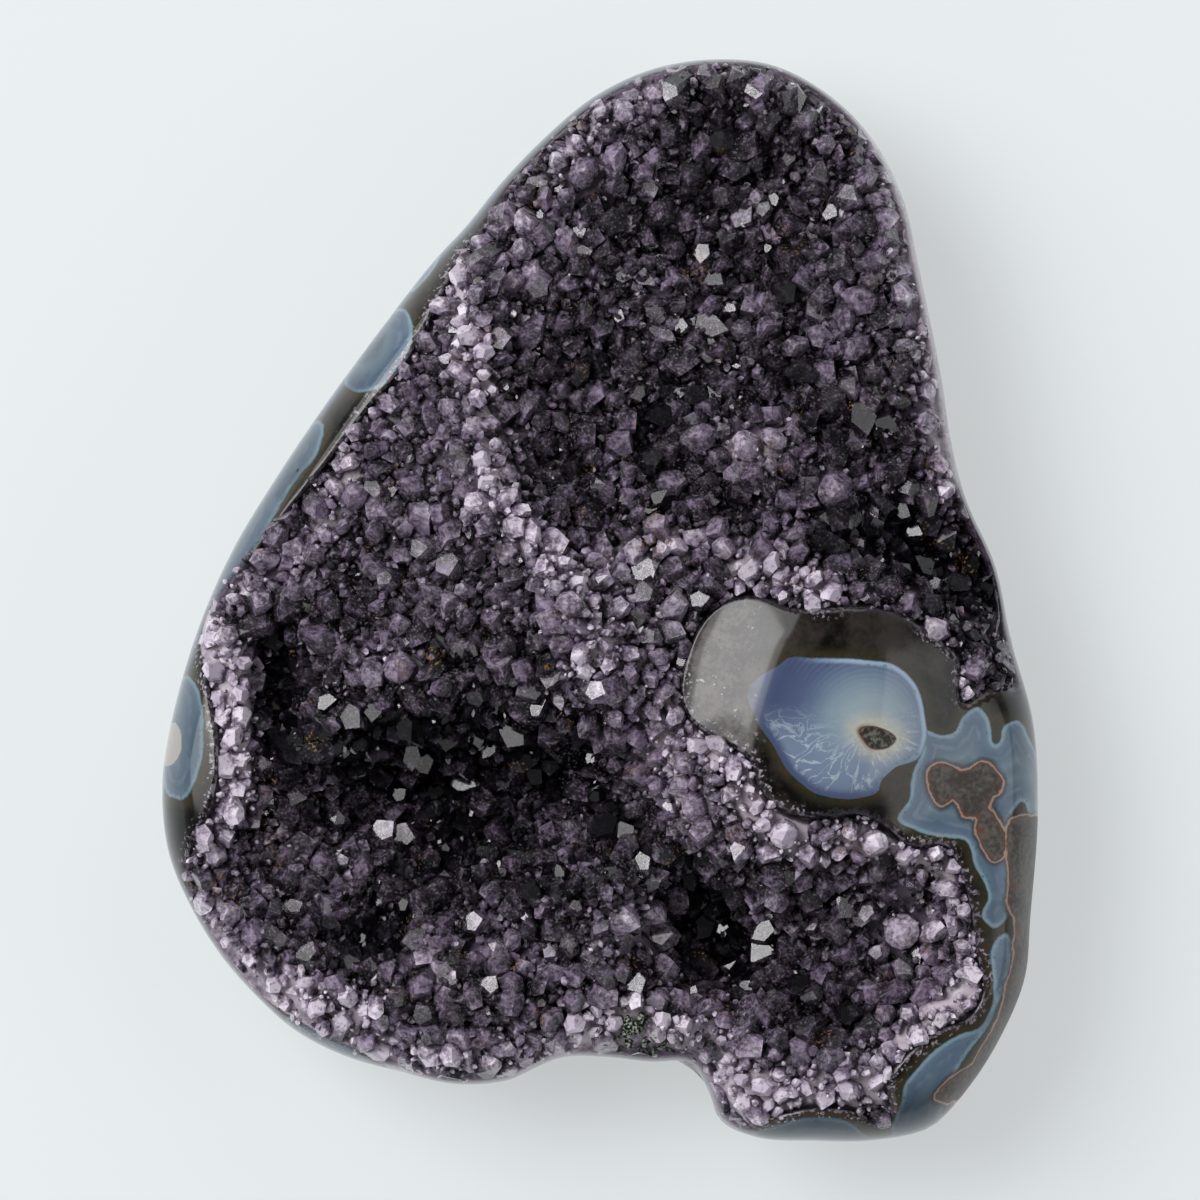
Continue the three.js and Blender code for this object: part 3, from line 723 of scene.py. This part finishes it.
# White veins across the lower half of the eye, and teal stains towards its edge.
spokes = wires.add(
    "ShaderNodeCombineXYZ", inputs={0: noted("round_vug") * 4.5, 1: noted("from_vug") * 0.16}
)
veins = wires.add(
    "ShaderNodeTexNoise", inputs={"Vector": spokes, "Scale": 1.3, "Detail": 4, "Distortion": 0.9}
)
vein_line = 1 - veins.math("ABSOLUTE", veins - 0.5).step(0, 0.05)
low_half = y.step(-18, -27) * eye.step(0.6, 2.4) * eye.step(14, 6)
from_vug = noted("from_vug") + ragged * 0.9
eye_blue = ramped(from_vug, EYE_RINGS)
rings = from_vug.math("SINE", (noted("from_vug") + ragged * 0.25) * 7)
eye_blue = painted(eye_blue, seen(150, 166, 184), rings.step(0.3, 1) * (x + y).step(18, 34) * 0.14)
eye_blue = painted(eye_blue, seen(126, 142, 164), low_half * 0.7)
eye_blue = painted(eye_blue, seen(184, 196, 206), vein_line * low_half * 0.7)
bright_edge = eye.step(0, 0.35) * eye.step(1.3, 0.5) * (x + y).step(24, 36)
eye_blue = painted(eye_blue, seen(160, 182, 202), bright_edge * 0.9)
eye_blue = painted(eye_blue, seen(40, 86, 92), fine.step(0.58, 0.68) * eye.step(2.4, 0.2) * 0.5)
colour = painted(colour, eye_blue, eye.step(-0.1, 0.1))

# The vug in the eye: a dark druzy hole with a rusty lip and a cream halo.
vug = noted("vug") + ragged * 0.35
colour = painted(colour, seen(202, 195, 172), vug.step(-4, -0.4) * (0.1 + fine))
colour = painted(colour, seen(112, 64, 40), vug.step(-1.1, -0.2) * x.step(52, 46))
colour = painted(colour, seen(86, 52, 36), vug.step(-0.5, -0.15))
vug_inside = painted(seen(40, 38, 34), seen(104, 104, 94), fine.step(0.45, 0.65))
colour = painted(colour, vug_inside, vug.step(-0.3, 0.1))

# Host basalt, with a pink-cream skin and rusty spots.
basalt = noted("basalt") + ragged * 0.95
rock = painted(seen(58, 53, 50), seen(96, 90, 84), (medium * 0.5 + fine * 0.5).step(0.38, 0.62))
rock = painted(rock, seen(100, 50, 34), medium.step(0.6, 0.68) * basalt.step(2.6, 0.6))
colour = painted(colour, seen(60, 50, 42), basalt.step(-1.2, -0.3) * 0.7)
colour = painted(colour, seen(152, 132, 120), basalt.step(-0.25, 0))
colour = painted(colour, seen(96, 62, 46), basalt.step(0.15, 0.3))
colour = painted(colour, rock, basalt.step(0.35, 0.7))
quartz_patch = noted("rim_quartz") + ragged * 0.3
colour = painted(colour, seen(160, 154, 150), quartz_patch.step(-0.2, 0.1))

# Milky quartz left of the eye, full of specks, and crystals that the polish has cut through.
quartz = x.step(31.5, 25) * crust.step(0, -0.6) * y.step(-34, -26) * y.step(6, 0) * x.step(4, 8)
quartz_paint = painted(seen(30, 27, 26), seen(86, 78, 76), (medium * 0.6 + fine * 0.4).step(0.4, 0.6))
quartz_paint = painted(quartz_paint, seen(180, 174, 174), grain(1.2, 3).step(0.66, 0.72))
quartz_paint = painted(quartz_paint, seen(12, 10, 9), grain(1.3, 3).step(0.36, 0.3))
colour = painted(colour, quartz_paint, quartz * 0.8)
cut_points = crust.step(-2.6, -0.3) * (fine + crust * 0.05).step(0.5, 0.58) * tone.step(0.35, 0.75)
colour = painted(colour, seen(176, 164, 176), cut_points)
colour = painted(colour, seen(54, 47, 55), crust.step(-1.1, -0.2) * fine.step(0.4, 0.5) * 0.7)

# The crystals' bed, and the cut crust in the ground rim: amethyst cells over milky quartz.
bed_tone = tone * crust.step(0.3, 2.4) + (fine - 0.5) * 0.8
bed_colour = painted(seen(18, 15, 19), seen(104, 93, 106), bed_tone.step(0.15, 0.6))
bed_colour = painted(bed_colour, seen(206, 192, 203), bed_tone.step(0.5, 1))
cut_tone = tone + (medium - 0.3) * 0.6 + (fine - 0.5) * 0.8
cut = painted(seen(34, 28, 38), seen(112, 99, 116), cut_tone.step(0.2, 0.75))
cut = painted(cut, seen(190, 180, 190), cut_tone.step(0.75, 1.3))
crust_colour = painted(cut, bed_colour, z.step(36.5, 37.5))
colour = painted(colour, crust_colour, crust.step(0, 0.5))

# The rough back under the polished edge.
back = (z + ragged * 2 + wander).step(19.5, 17)
colour = painted(colour, seen(118, 106, 92), (z + ragged * 2 + wander).step(21.5, 20) * 0.7)
back_rock = painted(seen(62, 58, 53), seen(104, 98, 88), (broad * 0.4 + medium * 0.6).step(0.35, 0.62))
back_rock = painted(back_rock, seen(66, 72, 60), broad.step(0.5, 0.7) * 0.6)
colour = painted(colour, back_rock, back)

stone_rough = 0.1 + basalt.step(0, 0.5) * 0.28
stone_rough = stone_rough + vug.step(-0.3, 0.1) * 0.4
stone_rough = stone_rough.math("MAXIMUM", stone_rough, crust.step(0.3, 1) * 0.5 * z.step(36, 38))
stone_rough = stone_rough.math("MAXIMUM", stone_rough, back * 0.88)
stone_surface = wires.add(
    "ShaderNodeBsdfPrincipled",
    inputs={
        "Base Color": colour, "Roughness": stone_rough, "IOR": 1.5, "Specular IOR Level": 0.4,
    },
)
wires.add("ShaderNodeOutputMaterial", inputs={"Surface": stone_surface})
stone.data.materials.append(stone_paint)
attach(stone, "root")
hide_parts("agate_stone")

# The crystal points. Amethyst quartz: six-sided prisms with six unequal tip faces, grown side by
# side from the bed, milky in parts and smoky violet in others. Each form is cut once from a
# prism, and every point is a copy, turned, stretched and set in the crust.
FACE_SLOPE = 52  # a quartz tip's faces lean this many degrees out of the crust's plane
PRISM_FOOT = -2.4  # in radii, under the prism's uncut shoulders
PRISM_TOP = 3.6
SHOULDER_STRAY = 0.2  # each tip face is cut this much higher or lower, in radii
STANDING = 14  # a point rises no higher than this over the polished face
EDGE_DIP = 4  # or lower than this under the stone's widest height
STANDING_FROM_RIM = (0.2, 9.6)  # and is ground lower over these distances from the outline
FLUSH = 0.05  # what reaches nearer to the outline than this is moved onto it
COARSEST = 1.1  # dark crust has coarser points
FINER_WHERE_PALE = 0.4  # than pale crust, by this much
PALE_FROM = (0.35, 0.9)
STRAIGHTENED = (0.8, 0.8, 1)  # points stand up straighter than the crust slopes
MOST_SLANT = 1.1  # sideways, to 1 upwards
WIDTHS = (0.78, 1.28)  # across one way, in radii, and the other way makes up for it
HEIGHTS = (0.75, 1.3)
ODD_TONES = 1.1  # most points are a little darker than their place, a few much paler
ODDEST_TONE = 2.4
PALEST = 1.1
MOSS = [(6.5, -79.5, 5.5), (11, -83, 4.5), (2, -82.5, 2.6)]  # dark green clusters: place, reach
LARGE_POINTS = [
    (27, 28.4, 4.2), (-3, 78.6, 3.4), (43.4, 20.2, 3.9), (60.2, 32.5, 3.3), (11.6, 71.4, 3.3),
    (-37, -12.4, 3.4), (4.6, -59, 4.1), (9.4, -57.6, 3.6), (55.6, -61, 4.8), (33.6, -43, 3.6),
    (50.2, -44.4, 3.2), (-45.2, 19.2, 3.2), (32, 29.4, 2.8), (2.8, 76.4, 2.4), (17, -38, 3.4),
    (-58, -2, 3.2), (-33.5, -19, 3.4), (-63, -5, 3.2),
]
rng = np.random.default_rng(11)


def cut_form(sides, shoulders):
    """A quartz point of radius 1 whose end is cut by as many planes as it has sides."""
    bpy.ops.object.select_all(action="DESELECT")
    middle = (0, 0, (PRISM_FOOT + PRISM_TOP) / 2)
    depth = PRISM_TOP - PRISM_FOOT
    bpy.ops.mesh.primitive_cylinder_add(vertices=sides, radius=1, depth=depth, location=middle)
    bpy.ops.object.transform_apply(location=True)
    form = bpy.context.object
    bpy.ops.object.mode_set(mode="EDIT")
    slope = math.radians(FACE_SLOPE)
    for k in range(sides):
        heading = 2 * math.pi * k / sides
        out = np.array([math.cos(heading), math.sin(heading), 0])
        shoulder = rng.uniform(-SHOULDER_STRAY, SHOULDER_STRAY) + (k % 2) * rng.uniform(*shoulders)
        bpy.ops.mesh.select_all(action="SELECT")
        bpy.ops.mesh.bisect(
            plane_co=out * math.cos(math.pi / sides) + (0, 0, shoulder),
            plane_no=out * math.sin(slope) + (0, 0, math.cos(slope)),
            use_fill=True,
            clear_outer=True,
        )
    bpy.ops.object.mode_set(mode="OBJECT")
    corners = np.array([vertex.co for vertex in form.data.vertices])
    faces = [list(face.vertices) for face in form.data.polygons]
    bpy.data.objects.remove(form)
    return corners - (0, 0, corners[:, 2].max()), faces


# Points have six faces, chips four and the round balls eleven. Each form is one of several, and
# every second shoulder in it is raised by an amount within the range.
point_forms = [cut_form(6, (0.2, 1.3)) for _ in range(18)]
chip_forms = [cut_form(4, (0, 0.5)) for _ in range(6)]
ball_forms = [cut_form(11, (0, 0.25)) for _ in range(5)]


DART_MARGIN = 0.3  # from the stone's outline


def scattered(spacing, margin, tries, avoid, avoid_radius):
    """Darts thrown at the crust, none nearer to another than the spacing."""
    darts = rng.uniform((-82, -101), (82, 101), (tries, 2))
    darts = darts[(inside_crust(darts) > margin) & (inside_stone(darts) > DART_MARGIN)]
    kept = np.empty((len(avoid) + len(darts), 2))
    kept[: len(avoid)] = avoid
    clear = np.full(len(kept), spacing, float)
    clear[: len(avoid)] = np.maximum(avoid_radius, spacing)
    count = len(avoid)
    for dart in darts:
        if np.all(np.sum((kept[:count] - dart) ** 2, 1) > clear[:count] ** 2):
            kept[count] = dart
            count += 1
    return kept[len(avoid) : count]


def crust_normals(places):
    slopes = []
    for axis in ((1.0, 0.0), (0.0, 1.0)):
        slopes.append((crystal_face(places + axis) - crystal_face(places - np.array(axis))) / 2)
    return np.column_stack([-slopes[0], -slopes[1], np.ones(len(places))])


def unit(vectors):
    return vectors / np.linalg.norm(vectors, axis=1)[:, None]


def grow(name, places, radius, rise, forms, lean, tone_spread):
    """One mesh of many points, each at its place with its own form, lean, spin and tone."""
    count = len(places)
    tones = crust_tone_and_shade(places)
    radius = radius * (COARSEST - FINER_WHERE_PALE * smooth_step(tones, *PALE_FROM))
    axis = unit(crust_normals(places)) * STRAIGHTENED
    slant = np.abs(rng.normal(0, lean, count)).clip(0, MOST_SLANT)[:, None]
    heading = rng.uniform(0, 2 * math.pi, count)
    axis[:, :2] += slant * np.column_stack([np.cos(heading), np.sin(heading)])
    axis = unit(axis)
    spin = rng.uniform(0, 2 * math.pi, count)
    side = unit(np.cross(axis, np.column_stack([np.cos(spin), np.sin(spin), np.zeros(count)])))
    third = np.cross(axis, side)
    wide = (radius * rng.uniform(*WIDTHS, count))[:, None]
    narrow = radius[:, None] ** 2 / wide
    tall = (radius * rng.uniform(*HEIGHTS, count))[:, None]
    apex = np.column_stack([places, crystal_face(places)]) + rise[:, None] * axis
    tones = tones + tone_spread * (rng.exponential(ODD_TONES, count).clip(0, ODDEST_TONE) - 1)
    tones = np.clip(tones, 0, PALEST)
    moss = np.zeros(count)
    for x, y, reach in MOSS:
        moss = np.maximum(moss, 1 - np.hypot(*(places - (x, y)).T) / reach)
    which = rng.integers(0, len(forms), count)
    corners, faces, notes = [], [], []
    first = 0
    for number, (shape, shape_faces) in enumerate(forms):
        k = np.flatnonzero(which == number)
        x, y, z = shape.T[:, :, None]
        body = x * (side * wide)[k, None] + y * (third * narrow)[k, None]
        body = body + z * (axis * tall)[k, None] + apex[k, None]
        corners.append(body.reshape(-1, 3))
        along = np.tile(1 - z[:, 0] / z.min(), len(k))
        notes.append(np.column_stack([along, np.repeat(tones[k], len(x)), np.repeat(moss[k], len(x))]))
        starts = first + len(x) * np.arange(len(k))
        for face in shape_faces:
            faces.extend((starts[:, None] + face).tolist())
        first += len(x) * len(k)
    corners = np.vstack(corners)
    notes = np.vstack(notes)
    # Points that reach the ground edge were ground flush with it.
    depth = inside_stone(corners[:, :2])
    outside = depth < FLUSH
    corners[outside, :2] = nearest_on(silhouette, corners[outside, :2])[0]
    free = smooth_step(depth, *STANDING_FROM_RIM)
    highest = np.maximum(polished_face(corners[:, :2]) + STANDING * free, WIDEST_Z)
    corners[:, 2] = np.clip(corners[:, 2], WIDEST_Z - EDGE_DIP, highest)
    mesh = bpy.data.meshes.new(name)
    mesh.from_pydata(np.clip(corners * MM, *cad_box).tolist(), [], faces)
    mesh.update()
    for column, noted_name in enumerate(("along", "tone", "moss")):
        note(mesh, noted_name, notes[:, column])
    piece = bpy.data.objects.new(name, mesh)
    bpy.context.scene.collection.objects.link(piece)
    mesh.materials.append(amethyst)
    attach(piece, "root")
    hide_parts("crystal_crust")


amethyst, wires, place = start_material("amethyst_points")
along = noted("along")
tone = noted("tone")
moss = noted("moss")
cloud = grain(1.3, 2, 0.75)
wisp = grain(4, 0)
fleck = grain(0.5, 0)
body = tone * (0.55 + cloud * 0.8) + (cloud - 0.5) * 0.7 + (wisp - 0.5) * 0.2 + (along - 0.86) * 0.8
BODY_COLOURS = [
    (0, seen(15, 13, 17)), (0.15, seen(40, 35, 43)), (0.3, seen(74, 65, 77)),
    (0.5, seen(116, 104, 120)), (0.7, seen(152, 139, 156)), (1, seen(224, 213, 226)),
]
milky_colour = ramped(body, BODY_COLOURS)
# Pale flecks in all but the blackest points stand for glints off inner cracks and facet edges: painted
# highlights.
painted_glint_amount = fleck.step(0.64, 0.7) * tone.step(0.02, 0.3) * 0.25
milky_colour = painted(milky_colour, seen(196, 188, 194), painted_glint_amount)
lilac = wisp.step(0.48, 0.64) * body.step(0.15, 0.5) * 0.35
milky_colour = painted(milky_colour, seen(132, 112, 144), lilac)
gold = grain(7, 0).step(0.7, 0.74) * fleck.step(0.66, 0.7)
milky_colour = painted(milky_colour, seen(150, 112, 62), gold)
moss_paint = painted(seen(20, 27, 20), seen(150, 156, 146), (fleck * 0.6 + cloud * 0.4).step(0.45, 0.6))
milky_colour = painted(milky_colour, moss_paint, (moss + (cloud - 0.5) * 0.8).step(0.2, 0.45))
clear_colour = painted(seen(196, 184, 204), seen(240, 236, 242), tone.step(0.2, 0.8))

milky = wires.add(
    "ShaderNodeBsdfPrincipled",
    inputs={"Base Color": milky_colour, "Roughness": 0.08, "IOR": 1.544},
)
clear = wires.add(
    "ShaderNodeBsdfPrincipled",
    inputs={
        "Base Color": clear_colour, "Roughness": 0.04, "IOR": 1.544, "Transmission Weight": 1.0,
    },
)
cloudy = 0.64 + body.step(0.2, 0.8) * 0.4 + (cloud - 0.5) * 0.7
mixed = wires.add("ShaderNodeMixShader", inputs={0: cloudy, 1: clear, 2: milky})
haze = wires.add("ShaderNodeVolumeAbsorption", inputs={"Color": (0.5, 0.4, 0.58, 1), "Density": 300})
wires.add("ShaderNodeOutputMaterial", inputs={"Surface": mixed, "Volume": haze})

# The largest balls stand where the real ones do. Of the other points, the main ones are set first,
# small ones fill the gaps between them, and chips stand anywhere, on the others' flanks too.
LARGE_RISE = 3.8
LARGE_LEAN = 0.2
LARGE_SPREAD = 0.02
LARGE_CLEARANCE = 1  # the others keep this far from a ball's flank
CLEAR_SHARE = 0.8  # and this share of its radius from a main point's axis
KINDS = {
    "main_points": {
        "forms": point_forms, "spacing": 3.4, "margin": 1.2, "darts": 24000,
        "radius": (1.7, 3.2), "rise": (0.8, 4.2), "lean": 0.62, "tone_spread": 0.13,
    },
    "small_points": {
        "forms": point_forms, "spacing": 1.85, "margin": 0.5, "darts": 36000,
        "radius": (0.9, 1.7), "rise": (-0.4, 1.7), "lean": 0.7, "tone_spread": 0.16,
    },
    "chips": {
        "forms": chip_forms, "spacing": 1.35, "margin": 0.15, "darts": 30000,
        "radius": (0.4, 0.85), "rise": (-1.0, 1.8), "lean": 0.8, "tone_spread": 0.2,
    },
}
large = np.array(LARGE_POINTS)
places, sizes = large[:, :2], large[:, 2]
rises = np.full(len(large), LARGE_RISE)
grow("large_points", places, sizes, rises, ball_forms, LARGE_LEAN, LARGE_SPREAD)
taken = places
taken_radius = sizes + LARGE_CLEARANCE
for name, kind in KINDS.items():
    if name == "chips":
        taken, taken_radius = taken[:0], taken_radius[:0]
    places = scattered(kind["spacing"], kind["margin"], kind["darts"], taken, taken_radius)
    sizes = rng.uniform(*kind["radius"], len(places))
    rises = rng.uniform(*kind["rise"], len(places))
    grow(name, places, sizes, rises, kind["forms"], kind["lean"], kind["tone_spread"])
    taken = np.vstack([taken, places])
    taken_radius = np.append(taken_radius, sizes * CLEAR_SHARE)
